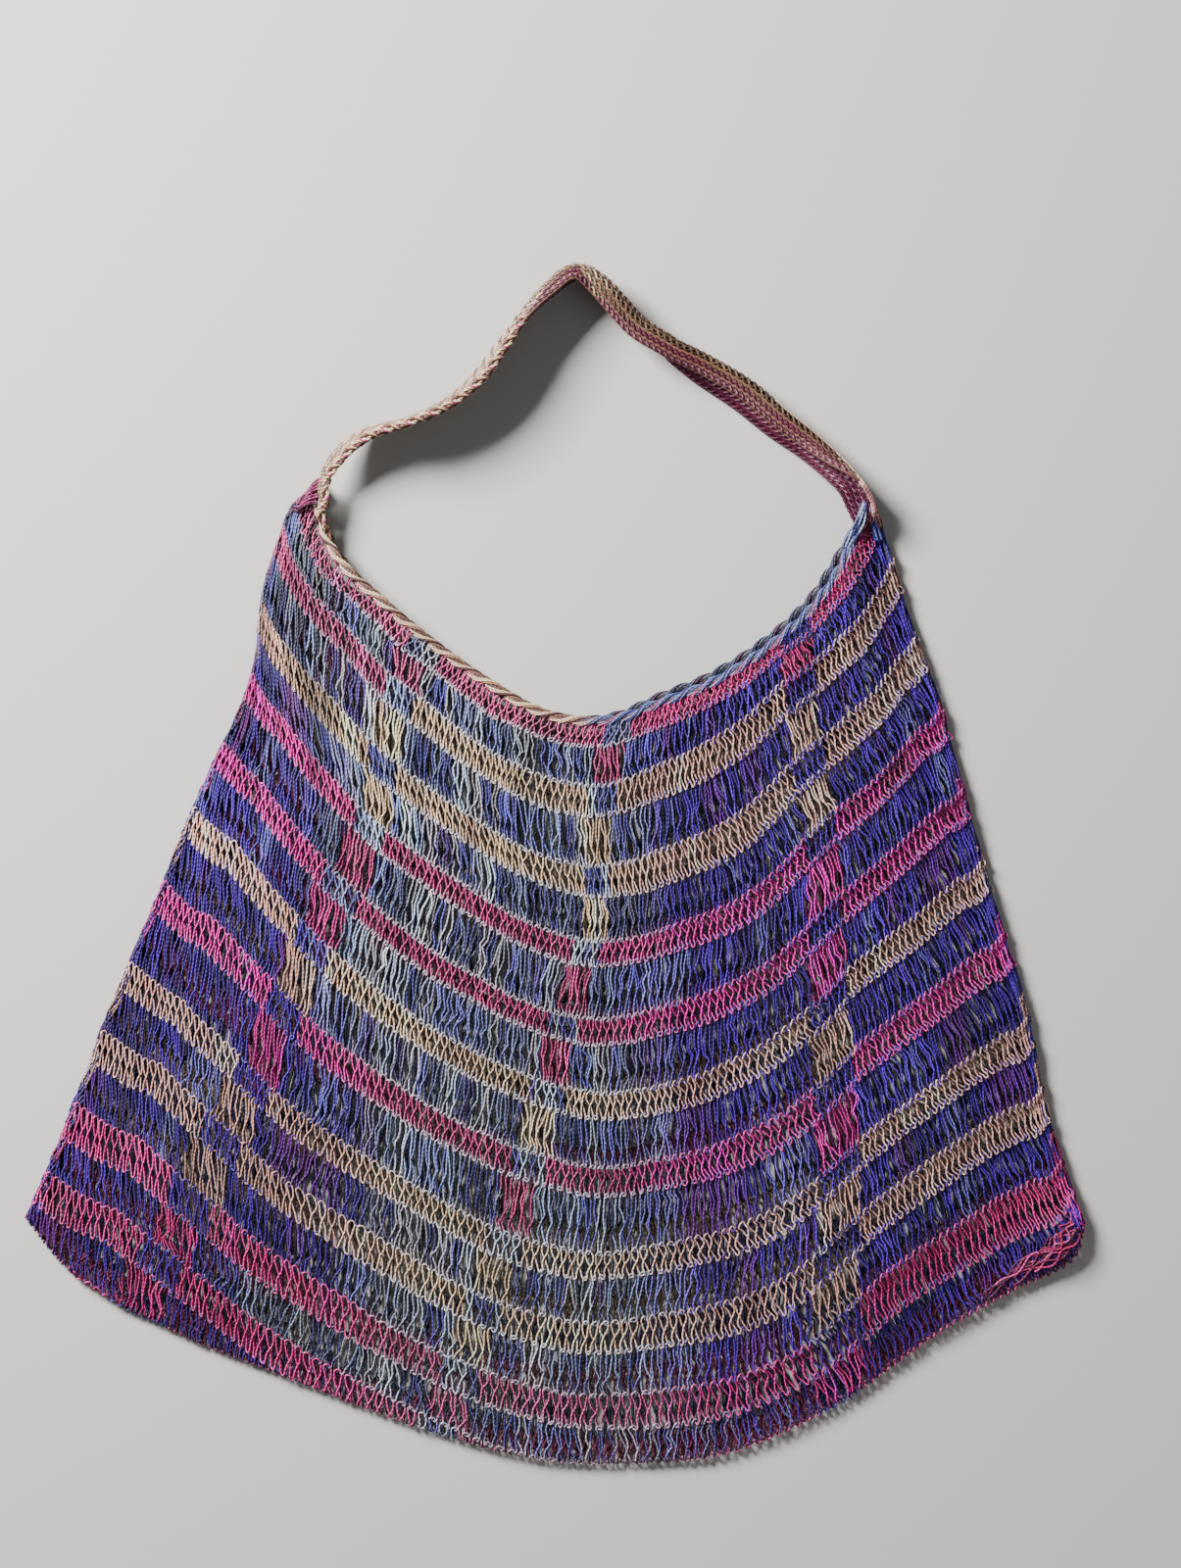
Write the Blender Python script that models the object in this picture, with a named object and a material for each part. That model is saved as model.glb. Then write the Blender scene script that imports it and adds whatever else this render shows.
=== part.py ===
"""A looped string bag of the bilum kind, lying empty on its back.

The bag is a pouch of looped yarn, open at the mouth, with a twisted cord round the mouth and
a broad looped shoulder strap that joins the two horns of the pouch. +X runs to the bag's
right, +Y from the bottom fold towards the top of the strap, and +Z up from the surface that
the bag lies on. Sizes are in millimetres and become metres as each mesh is made.
"""

import math

import bmesh
import bpy
import numpy as np

MM = 0.001

# Net of the pouch
WALL = 2.5
FOLD_HEIGHT = 6.0
FOLD_INSET = 1.5
HOLLOW_INSET = 5.0
CROWN = 9.0
SIDE_RISE = 0.14
BOTTOM_RISE = 0.16
RIB = 0.6
COLUMNS = 40
ROW_PAIRS = 10
SHORT_ROW = 13.5
TALL_ROW = 24.5
HOLLOW_LEVELS = 14

# Cord round the mouth
CORD_HALF_WIDTH = 3.2
CORD_HALF_HEIGHT = 2.1
CORD_RELIEF = 0.08
CORD_PITCH = 26.0
CORD_STEPS = 96
CORD_SIDES = 10
CORD_TURN_STEPS = 5
BACK_CORD_SHIFT = 3.5
BACK_CORD_HEIGHT = 2.35
TIP_CORD_HEIGHT = 7.95
SEAT_GAP = 0.55

# Shoulder strap
STRAP_THICKNESS = 3.0
STRAP_RIDGE = 0.25
STRAP_STEPS = 66
STRAP_FLAT_SHARE = 0.5
STRAP_BEND_SHARE = 0.25
STRAP_WALES = (0.0, 0.125, 0.25, 0.375, 0.5, 0.583, 0.667, 0.75, 0.875, 1.0)

# Edges of the pouch as it lies, each from its first to its last point: x, y
LEFT_EDGE = [
    (-127.4, 195.0), (-134.6, 188.6), (-143.2, 168.3), (-149.8, 148.0), (-153.5, 126.0),
    (-155.4, 106.0), (-161.4, 86.0), (-180.2, 46.6), (-205.5, -14.2), (-230.9, -75.0),
    (-254.2, -135.8), (-275.0, -184.0),
]
RIGHT_EDGE = [
    (166.0, 189.0), (172.6, 168.3), (184.3, 127.7), (199.0, 87.2), (210.1, 46.6),
    (226.8, -14.2), (245.1, -75.0), (257.8, -135.8), (274.5, -186.5),
]
BOTTOM_EDGE = [
    (-275.0, -184.0), (-256.2, -207.8), (-195.4, -244.3), (-134.6, -268.7), (-73.8, -292.0),
    (-12.9, -308.6), (47.9, -311.2), (83.0, -307.5), (139.1, -284.9), (200.0, -243.3),
    (240.0, -220.0), (271.0, -202.0), (274.5, -186.5),
]
# Middle of the mouth's cord, from the left horn round to the right horn: x, y
MOUTH_LINE = [
    (-123.4, 195.2), (-121.9, 183.5), (-117.9, 169.3), (-110.3, 156.6), (-88.5, 135.3),
    (-64.1, 115.1), (-35.7, 94.8), (-1.3, 74.5), (17.5, 70.5), (36.8, 73.5), (53.0, 82.6),
    (78.3, 92.3), (111.3, 112.5), (135.6, 134.8), (153.3, 163.2), (158.9, 176.9),
    (162.0, 189.6),
]
# Soft folds of the front wall: share across the mouth, share across the bottom, half width
# as a share of the row, height (a dip is negative)
FRONT_FOLDS = [
    (0.20, 0.12, 0.035, 1.8),
    (0.31, 0.27, 0.045, -1.8),
    (0.47, 0.46, 0.070, 1.2),
    (0.62, 0.66, 0.045, -1.8),
    (0.77, 0.83, 0.040, 1.6),
]
# Gathered corners of the bottom: x, y, radius, height
GATHERED_CORNERS = [
    (262.0, -192.0, 17.0, 5.0),
    (-262.0, -186.0, 14.0, 2.5),
]
# Strap from the left horn to the right horn: x, y, width, lean, curl, lift. Lean is the
# angle from upright towards the inside of the loop, curl the turn of the upper edge, and
# lift the height of the lowest point.
STRAP_COURSE = [
    (-122.9, 187.6, 10.0, 90.0, 0.0, 10.7),
    (-122.4, 197.0, 10.0, 90.0, 0.0, 10.7),
    (-118.6, 206.2, 11.0, 80.0, 0.0, 10.7),
    (-111.3, 214.0, 15.0, 42.0, 5.0, 5.0),
    (-97.6, 222.6, 22.0, 16.0, 10.0, 0.5),
    (-74.8, 229.1, 28.0, 8.0, 10.0, 0.0),
    (-53.5, 239.3, 28.0, 10.0, 10.0, 0.0),
    (-41.3, 249.4, 28.0, 12.0, 10.0, 0.0),
    (-25.6, 269.7, 28.0, 9.0, 15.0, 0.0),
    (-12.9, 285.9, 28.0, -6.0, 35.0, 0.0),
    (-2.8, 296.5, 28.0, -16.0, 60.0, 0.0),
    (11.4, 306.0, 28.0, -18.0, 70.0, 0.0),
    (23.6, 298.9, 28.0, -8.0, 95.0, 0.0),
    (32.7, 288.9, 28.0, -6.0, 100.0, 0.0),
    (41.8, 278.8, 28.0, -12.0, 110.0, 0.0),
    (58.5, 268.2, 28.0, -32.0, 130.0, 0.0),
    (76.8, 257.0, 29.0, -58.0, 150.0, 0.0),
    (98.6, 243.3, 30.0, -66.0, 160.0, 0.0),
    (115.8, 229.0, 29.0, -62.0, 155.0, 0.0),
    (130.5, 218.0, 26.0, -60.0, 145.0, 1.0),
    (142.2, 207.3, 22.0, -66.0, 125.0, 5.5),
    (152.3, 196.4, 18.0, -80.0, 90.0, 10.7),
    (158.4, 186.0, 14.0, -90.0, 40.0, 10.7),
    (160.6, 178.4, 11.0, -90.0, 0.0, 10.7),
]

# Colour of each material: red, green, blue and roughness
YARN_BLUE = (0.085, 0.075, 0.42, 0.85)
YARN_BEIGE = (0.70, 0.56, 0.45, 0.85)
YARN_MAROON = (0.30, 0.025, 0.13, 0.85)


def along(table, shares):
    """Rows of a smooth curve through the table, at shares of its length in plan."""
    knots = np.array(table, dtype=float)
    chords = np.linalg.norm(np.diff(knots[:, :2], axis=0), axis=1)
    chord = np.concatenate(([0.0], np.cumsum(chords)))
    slopes = np.gradient(knots, chord, axis=0)
    fine = np.linspace(0.0, chord[-1], 40 * len(knots))
    span = np.clip(np.searchsorted(chord, fine, side="right") - 1, 0, len(knots) - 2)
    step = (chord[span + 1] - chord[span])[:, None]
    t = (fine - chord[span])[:, None] / step
    curve = (2 * t**3 - 3 * t**2 + 1) * knots[span] + (3 * t**2 - 2 * t**3) * knots[span + 1]
    curve += step * ((t**3 - 2 * t**2 + t) * slopes[span] + (t**3 - t**2) * slopes[span + 1])
    pieces = np.linalg.norm(np.diff(curve[:, :2], axis=0), axis=1)
    run = np.concatenate(([0.0], np.cumsum(pieces)))
    wanted = np.asarray(shares) * run[-1]
    return np.stack([np.interp(wanted, run, column) for column in curve.T], axis=1)


def unit(vectors):
    """Vectors scaled to length one."""
    return vectors / np.linalg.norm(vectors, axis=-1, keepdims=True)


def left_normals(line):
    """Unit normals on the left of a line's travel, in plan."""
    travel = unit(np.gradient(line[:, :2], axis=0))
    return np.stack([-travel[:, 1], travel[:, 0]], axis=1)


def smooth_step(value):
    """Zero below 0, one above 1 and an S curve between."""
    value = np.clip(value, 0.0, 1.0)
    return value * value * (3.0 - 2.0 * value)


def back_shift(shares):
    """How far the back of the mouth shows above the front, along the mouth."""
    return BACK_CORD_SHIFT * smooth_step((shares - 0.45) / 0.2) * smooth_step((1.0 - shares) / 0.1)


def mouth_edge(shift):
    """Upper edge of the net under the mouth's cord, one point for each column."""
    shares = np.linspace(0.0, 1.0, COLUMNS + 1)
    line = along(MOUTH_LINE, shares)
    reach = CORD_HALF_WIDTH * (1.0 + CORD_RELIEF) + SEAT_GAP
    return line + left_normals(line) * (shift(shares) - reach)[:, None]


def net_patch(mouth, levels):
    """Points of the net in plan: rows from the mouth to the bottom, columns left to right."""
    across = np.linspace(0.0, 1.0, COLUMNS + 1)
    bottom = along(BOTTOM_EDGE, across)
    left = along([mouth[0]] + LEFT_EDGE[1:], levels)
    right = along([mouth[-1]] + RIGHT_EDGE[1:], levels)
    u = across[None, :, None]
    v = np.asarray(levels)[:, None, None]
    ruled = (1 - v) * mouth[None] + v * bottom[None] + (1 - u) * left[:, None] + u * right[:, None]
    top_corners = (1 - u) * mouth[0] + u * mouth[-1]
    low_corners = (1 - u) * bottom[0] + u * bottom[-1]
    return ruled - (1 - v) * top_corners - v * low_corners


def drawn_in(patch, inset):
    """The patch with its sides and bottom moved inwards."""
    moved = patch.copy()
    moved[:, 0] += inset * unit(patch[:, 1] - patch[:, 0])
    moved[:, -1] += inset * unit(patch[:, -2] - patch[:, -1])
    moved[-1] += inset * unit(patch[-2] - patch[-1])
    return moved


def front_height(patch, levels):
    """Height of the front wall's outer face, without the ribs of its rows."""
    u = np.linspace(0.0, 1.0, COLUMNS + 1)[None, :]
    v = np.asarray(levels)[:, None]
    swell = smooth_step(u / SIDE_RISE) * smooth_step((1.0 - u) / SIDE_RISE)
    swell = swell * smooth_step((1.0 - v) / BOTTOM_RISE)
    relief = np.zeros(swell.shape)
    for at_mouth, at_bottom, half_width, height in FRONT_FOLDS:
        middle = at_mouth + (at_bottom - at_mouth) * v
        relief += height * np.exp(-(((u - middle) / half_width) ** 2))
    z = FOLD_HEIGHT + (CROWN + relief) * swell
    for x, y, radius, height in GATHERED_CORNERS:
        away = np.hypot(patch[..., 0] - x, patch[..., 1] - y)
        z = z + height * np.exp(-((away / radius) ** 2))
    return z


def row_levels():
    """Shares down the net at the joints and middles of its rows, and the rib's sign there."""
    pair = SHORT_ROW + TALL_ROW
    levels = []
    signs = []
    for index in range(ROW_PAIRS):
        start = index * pair
        marks = (start, start + SHORT_ROW / 2, start + SHORT_ROW, start + SHORT_ROW + TALL_ROW / 2)
        levels += [mark / (ROW_PAIRS * pair) for mark in marks]
        signs += [1.0, -1.0, 1.0, -1.0]
    return levels + [1.0], np.array(signs + [1.0])


def material(name, colour):
    """A plain principled material of one yarn."""
    made = bpy.data.materials.new(name)
    made.use_nodes = True
    shader = made.node_tree.nodes["Principled BSDF"]
    shader.inputs["Base Color"].default_value = (*colour[:3], 1.0)
    shader.inputs["Roughness"].default_value = colour[3]
    shader.inputs["Metallic"].default_value = 0.0
    return made


def finish_object(name, builder, colour):
    """Turns a bmesh in millimetres into a named, smoothly shaded object in metres."""
    bmesh.ops.scale(builder, vec=(MM, MM, MM), verts=builder.verts)
    bmesh.ops.recalc_face_normals(builder, faces=builder.faces)
    builder.normal_update()
    bmesh.ops.triangulate(builder, faces=builder.faces)
    mesh = bpy.data.meshes.new(name)
    builder.to_mesh(mesh)
    builder.free()
    mesh.shade_smooth()
    mesh.set_sharp_from_angle(angle=math.radians(50.0))
    mesh.materials.append(material(name + "_yarn", colour))
    made = bpy.data.objects.new(name, mesh)
    bpy.context.scene.collection.objects.link(made)
    return made


def add_points(builder, plan, heights):
    """One vertex for each point of a grid in plan and its heights, as nested lists."""
    return [
        [builder.verts.new((x, y, z)) for (x, y), z in zip(row, row_heights)]
        for row, row_heights in zip(plan, heights)
    ]


def add_strip(builder, first, second):
    """Faces between two rows of vertices of the same length."""
    for index in range(len(first) - 1):
        builder.faces.new((first[index], first[index + 1], second[index + 1], second[index]))


def rim_of(grid):
    """A grid's left side, bottom and right side, from the left horn to the right one."""
    left = [row[0] for row in grid]
    right = [row[-1] for row in reversed(grid)]
    return left + grid[-1][1:-1] + right


def flat_wall(builder, patch, height):
    """Vertices round a flat wall at one height: its rim, and its edge at the mouth."""
    edge = [builder.verts.new((x, y, height)) for x, y in patch[0]]
    left = [builder.verts.new((x, y, height)) for x, y in patch[1:, 0]]
    bottom = [builder.verts.new((x, y, height)) for x, y in patch[-1, 1:-1]]
    right = [builder.verts.new((x, y, height)) for x, y in reversed(patch[1:, -1])]
    rim = [edge[0]] + left + bottom + right + [edge[-1]]
    builder.faces.new(rim + list(reversed(edge[1:-1])))
    return rim, edge


def make_net():
    """The pouch: a crowned front wall and a flat back wall, folded round sides and bottom."""
    levels, signs = row_levels()
    hollow_levels = np.linspace(0.0, 1.0, HOLLOW_LEVELS + 1)
    front_mouth = mouth_edge(lambda shares: shares * 0.0)
    back_mouth = mouth_edge(back_shift)

    outline = net_patch(front_mouth, levels)
    front = drawn_in(outline, FOLD_INSET)
    height = front_height(front, levels)
    swell = (height - FOLD_HEIGHT) / CROWN
    ribbed = height + RIB * signs[:, None] * np.clip(swell, 0.0, 1.0)
    hollow = drawn_in(net_patch(front_mouth, hollow_levels), HOLLOW_INSET)
    hollow_height = front_height(hollow, hollow_levels) - WALL

    builder = bmesh.new()
    outer = add_points(builder, front, ribbed)
    inner = add_points(builder, hollow, hollow_height)
    for grid in (outer, inner):
        for upper, lower in zip(grid, grid[1:]):
            add_strip(builder, upper, lower)

    fold = add_points(builder, outline, height / 2)
    fold_rim = rim_of(fold)
    for row in fold[:-1]:
        for vertex in row[1:-1]:
            builder.verts.remove(vertex)

    back = drawn_in(net_patch(back_mouth, levels), FOLD_INSET)
    back_rim, back_edge = flat_wall(builder, back, 0.0)
    hollow_back = drawn_in(net_patch(back_mouth, hollow_levels), HOLLOW_INSET)
    hollow_rim, hollow_edge = flat_wall(builder, hollow_back, WALL)

    add_strip(builder, rim_of(outer), fold_rim)
    add_strip(builder, fold_rim, back_rim)
    add_strip(builder, rim_of(inner), hollow_rim)
    add_strip(builder, outer[0], inner[0])
    add_strip(builder, back_edge, hollow_edge)
    for end in (0, -1):
        corner = (outer[0][end], fold[0][end], back_edge[end], hollow_edge[end], inner[0][end])
        builder.faces.new(corner)
    return finish_object("net_body", builder, YARN_BLUE)


def ring(builder, centre, side, up, half_width, half_height, turn):
    """One section of the mouth's cord, an oval whose two strands have turned by an angle."""
    made = []
    for index in range(CORD_SIDES):
        angle = 2 * math.pi * index / CORD_SIDES
        swell = 1.0 + CORD_RELIEF * math.cos(2 * (angle - turn))
        offset = half_width * math.cos(angle) * side + half_height * math.sin(angle) * up
        made.append(builder.verts.new(tuple(centre + swell * offset)))
    return made


def cord_stations():
    """Centre, sideways and outward directions along the cord, front, then back."""
    shares = np.linspace(0.0, 1.0, CORD_STEPS + 1)
    line = along(MOUTH_LINE, shares)
    normals = left_normals(line)
    levels = [0.0]
    edge = mouth_edge(lambda at: at * 0.0)
    lip = front_height(edge[None], levels)[0]
    lip = np.interp(shares, np.linspace(0.0, 1.0, COLUMNS + 1), lip)
    front_z = np.maximum(TIP_CORD_HEIGHT, lip - WALL / 2)
    back = line + normals * back_shift(shares)[:, None]
    up = np.array([0.0, 0.0, 1.0])
    sides = [np.array([*normal, 0.0]) for normal in normals]

    front_run = [(np.array([*point, z]), side, up) for point, z, side in zip(line, front_z, sides)]
    back_run = [(np.array([*point, BACK_CORD_HEIGHT]), side, -up) for point, side in zip(back, sides)]
    radius = (TIP_CORD_HEIGHT - BACK_CORD_HEIGHT) / 2
    middle = (TIP_CORD_HEIGHT + BACK_CORD_HEIGHT) / 2

    def turn_at(end, first):
        """The cord's turn over a horn, from the height that it arrives at to the other."""
        side = sides[end]
        outward = np.array([side[1], -side[0], 0.0]) * (1.0 if end else -1.0)
        start = np.array([*line[end], middle])
        stations = []
        for step in range(1, CORD_TURN_STEPS):
            angle = math.pi * step / CORD_TURN_STEPS
            out = math.sin(angle) * outward + first * math.cos(angle) * up
            stations.append((start + radius * out, side, out))
        return stations

    return front_run + turn_at(-1, 1.0) + back_run[::-1] + turn_at(0, -1.0)


def make_cord():
    """The twisted cord that the net's first row is looped over, a closed ring."""
    stations = cord_stations()
    centres = np.array([centre for centre, _, _ in stations])
    steps = np.linalg.norm(np.roll(centres, -1, axis=0) - centres, axis=1)
    run = np.concatenate(([0.0], np.cumsum(steps)[:-1]))
    half_turns = round(2 * steps.sum() / CORD_PITCH)
    builder = bmesh.new()
    sections = []
    for (centre, side, up), length in zip(stations, run):
        turn = math.pi * half_turns * length / steps.sum()
        sections.append(ring(builder, centre, side, up, CORD_HALF_WIDTH, CORD_HALF_HEIGHT, turn))
    for index, section in enumerate(sections):
        following = sections[(index + 1) % len(sections)]
        add_strip(builder, section + section[:1], following + following[:1])
    return finish_object("mouth_cord", builder, YARN_BEIGE)


def strap_section(width, lean, curl):
    """Outline of the strap across its length: distance outwards and height, for both faces."""
    steps = 48
    middle = [np.zeros(2)]
    angles = []
    for index in range(steps):
        share = (index + 0.5) / steps
        bent = np.clip((share - STRAP_FLAT_SHARE) / STRAP_BEND_SHARE, 0.0, 1.0)
        angles.append(-math.radians(lean) - math.radians(curl) * bent)
        middle.append(middle[-1] + np.array([math.sin(angles[-1]), math.cos(angles[-1])]) * width / steps)
    outer_face = []
    inner_face = []
    for number, share in enumerate(STRAP_WALES):
        place = min(int(share * steps), steps - 1)
        angle = angles[place]
        ahead = np.array([math.sin(angle), math.cos(angle)])
        across = np.array([math.cos(angle), -math.sin(angle)])
        point = middle[round(share * steps)]
        ridge = STRAP_RIDGE if number % 2 else -STRAP_RIDGE
        half = STRAP_THICKNESS / 2 + ridge
        outer_face.append(point + half * across)
        inner_face.append(point - half * across)
        if number == 0:
            foot = point - STRAP_THICKNESS / 3 * ahead
        if number == len(STRAP_WALES) - 1:
            head = point + STRAP_THICKNESS / 3 * ahead
    outline = np.array([foot] + outer_face + [head] + inner_face[::-1])
    outline[:, 0] -= (outline[:, 0].min() + outline[:, 0].max()) / 2
    outline[:, 1] -= outline[:, 1].min()
    return outline


def make_strap():
    """The shoulder strap: a thick looped band on its edge, curled over on its right half."""
    course = along(STRAP_COURSE, np.linspace(0.0, 1.0, STRAP_STEPS + 1))
    builder = bmesh.new()
    sections = []
    course[:, 5] = np.maximum(course[:, 5], 0.0)
    for (x, y, width, lean, curl, lift), (out_x, out_y) in zip(course, left_normals(course)):
        outline = strap_section(width, lean, curl)
        points = [(x + out * out_x, y + out * out_y, lift + z) for out, z in outline]
        sections.append([builder.verts.new(point) for point in points])
    for section, following in zip(sections, sections[1:]):
        add_strip(builder, section + section[:1], following + following[:1])
    builder.faces.new(sections[0])
    builder.faces.new(sections[-1])
    return finish_object("shoulder_strap", builder, YARN_MAROON)


for leftover in list(bpy.data.objects):
    bpy.data.objects.remove(leftover, do_unlink=True)

make_net()
make_cord()
make_strap()
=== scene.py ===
import math

import bpy
import numpy as np
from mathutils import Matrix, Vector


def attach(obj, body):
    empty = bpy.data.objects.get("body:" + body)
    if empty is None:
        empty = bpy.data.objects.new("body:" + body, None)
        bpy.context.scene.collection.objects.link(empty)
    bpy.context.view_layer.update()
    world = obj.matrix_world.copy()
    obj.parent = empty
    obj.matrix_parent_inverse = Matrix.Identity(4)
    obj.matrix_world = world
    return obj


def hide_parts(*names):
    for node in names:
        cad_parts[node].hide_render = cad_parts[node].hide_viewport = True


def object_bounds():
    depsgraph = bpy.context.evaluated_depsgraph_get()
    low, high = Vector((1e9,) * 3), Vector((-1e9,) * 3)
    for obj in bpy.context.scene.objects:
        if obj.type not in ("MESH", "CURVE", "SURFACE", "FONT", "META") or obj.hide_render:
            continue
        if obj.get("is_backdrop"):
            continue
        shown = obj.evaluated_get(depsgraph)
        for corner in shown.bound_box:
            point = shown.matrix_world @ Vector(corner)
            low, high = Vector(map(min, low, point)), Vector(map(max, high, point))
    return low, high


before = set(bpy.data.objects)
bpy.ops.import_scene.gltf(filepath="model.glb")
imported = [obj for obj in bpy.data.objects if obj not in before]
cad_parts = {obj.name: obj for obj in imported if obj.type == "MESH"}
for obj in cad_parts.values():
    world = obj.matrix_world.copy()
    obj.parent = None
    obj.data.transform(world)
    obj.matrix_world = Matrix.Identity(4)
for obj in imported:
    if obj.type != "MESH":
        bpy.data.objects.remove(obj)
first_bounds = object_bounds()

# Pouch: one net without seams, looped in the round from the mouth down and closed by a fold at the
# bottom. It lies flat and empty, its front over a soft crown and its back on the surface. The plan is
# in millimetres, with the mouth and the bottom given from left to right and the edges from the top.
MOUTH_LINE = [
    (-123.4, 195.2), (-121.9, 183.5), (-117.9, 169.3), (-110.3, 156.6), (-88.5, 135.3),
    (-64.1, 115.1), (-35.7, 94.8), (-1.3, 76.8), (17.5, 74.0), (36.8, 76.4), (53.0, 82.8),
    (78.3, 92.3), (111.3, 112.5), (135.6, 134.8), (153.3, 163.2), (158.9, 176.9), (162.0, 189.6),
]
LEFT_EDGE = [
    (-127.4, 195.0), (-134.6, 188.6), (-143.2, 168.3), (-149.8, 148.0), (-153.5, 126.0),
    (-155.4, 106.0), (-161.4, 86.0), (-180.2, 46.6), (-205.5, -14.2), (-230.9, -75.0),
    (-254.2, -135.8), (-275.0, -184.0),
]
RIGHT_EDGE = [
    (166.0, 189.0), (172.6, 168.3), (184.3, 127.7), (199.0, 87.2), (210.1, 46.6),
    (226.8, -14.2), (245.1, -75.0), (257.8, -135.8), (274.5, -186.5),
]
BOTTOM_EDGE = [
    (-275.0, -184.0), (-256.2, -207.8), (-195.4, -244.3), (-134.6, -268.7), (-73.8, -292.0),
    (-12.9, -308.6), (47.9, -311.2), (83.0, -307.5), (139.1, -284.9), (200.0, -243.3),
    (240.0, -220.0), (271.0, -202.0), (274.5, -186.5),
]
# Share across at the mouth and at the bottom, half width, height of each soft fold
FRONT_FOLDS = [
    (0.20, 0.12, 0.035, 1.8), (0.31, 0.27, 0.045, -1.8), (0.47, 0.46, 0.070, 1.2),
    (0.62, 0.66, 0.045, -1.8), (0.77, 0.83, 0.040, 1.6),
]
FOLD_HEIGHT, FOLD_RADIUS, CROWN, HALF_NET = 6.0, 2.4, 9.0, 1.25
# The highest level at which an edge turns, and how far the net's rim stays inside the mouth's line
TURN_LIMIT, CORD_REACH = 5.0, 4.0
# Lumps at the bottom's corners: place in plan, radius, height
CORNER_LUMPS = [(262.0, -192.0, 17.0, 5.0), (-262.0, -186.0, 14.0, 2.5)]


def smooth_step(value):
    value = np.clip(value, 0.0, 1.0)
    return value * value * (3.0 - 2.0 * value)


def unit(vectors):
    return vectors / np.maximum(np.linalg.norm(vectors, axis=-1, keepdims=True), 1e-9)


def distances(line):
    """Length along a line up to each of its points."""
    return np.concatenate(([0.0], np.cumsum(np.linalg.norm(np.diff(line, axis=0), axis=1))))


def along(table, shares):
    """Rows of a smooth curve through the table, at shares of its length in plan."""
    knots = np.array(table, dtype=float)
    chord = distances(knots[:, :2])
    slopes = np.gradient(knots, chord, axis=0)
    fine = np.linspace(0.0, chord[-1], 40 * len(knots))
    span = np.clip(np.searchsorted(chord, fine, side="right") - 1, 0, len(knots) - 2)
    step = (chord[span + 1] - chord[span])[:, None]
    t = (fine - chord[span])[:, None] / step
    curve = (2 * t**3 - 3 * t**2 + 1) * knots[span] + (3 * t**2 - 2 * t**3) * knots[span + 1]
    curve += step * ((t**3 - 2 * t**2 + t) * slopes[span] + (t**3 - t**2) * slopes[span + 1])
    run = distances(curve[:, :2])
    return np.stack([np.interp(np.asarray(shares) * run[-1], run, column) for column in curve.T], axis=1)


def left_normals(line):
    travel = unit(np.gradient(line[:, :2], axis=0))
    return np.stack([-travel[:, 1], travel[:, 0]], axis=1)


def back_shift(shares):
    """How much further up the bag the back's rim shows behind the front's, on the right half."""
    return 3.5 * smooth_step((shares - 0.45) / 0.2) * smooth_step((1.0 - shares) / 0.1)


def plan_grid(back):
    """Plan of one wall on a fine grid of shares, a little inside its outline."""
    across, down = np.linspace(0.0, 1.0, 505), np.linspace(0.0, 1.0, 241)
    line = along(MOUTH_LINE, across)
    mouth = line + left_normals(line) * (back * back_shift(across) - CORD_REACH)[:, None]
    bottom = along(BOTTOM_EDGE, across)
    left, right = along([mouth[0]] + LEFT_EDGE[1:], down), along([mouth[-1]] + RIGHT_EDGE[1:], down)
    u, v = across[None, :, None], down[:, None, None]
    grid = (1 - v) * mouth[None] + v * bottom[None] + (1 - u) * left[:, None] + u * right[:, None]
    grid -= (1 - v) * ((1 - u) * mouth[0] + u * mouth[-1]) + v * ((1 - u) * bottom[0] + u * bottom[-1])
    widths = np.linalg.norm(np.diff(grid, axis=1), axis=2).sum(axis=1)
    heights = np.linalg.norm(np.diff(grid, axis=0), axis=2).sum(axis=0)
    return grid, widths, heights


PLANS = [plan_grid(0.0), plan_grid(1.0)]


def front_height(u, v, x, y):
    """Height of the front wall's outer face."""
    swell = smooth_step(u / 0.14) * smooth_step((1.0 - u) / 0.14) * smooth_step((1.0 - v) / 0.16)
    relief = 0.0
    for at_mouth, at_bottom, half_width, height in FRONT_FOLDS:
        relief = relief + height * np.exp(-(((u - at_mouth - (at_bottom - at_mouth) * v) / half_width) ** 2))
    lumps = 0.0
    for at_x, at_y, radius, height in CORNER_LUMPS:
        lumps = lumps + height * np.exp(-(((x - at_x) ** 2 + (y - at_y) ** 2) / radius**2))
    return FOLD_HEIGHT + (CROWN + relief) * swell + lumps


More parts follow.
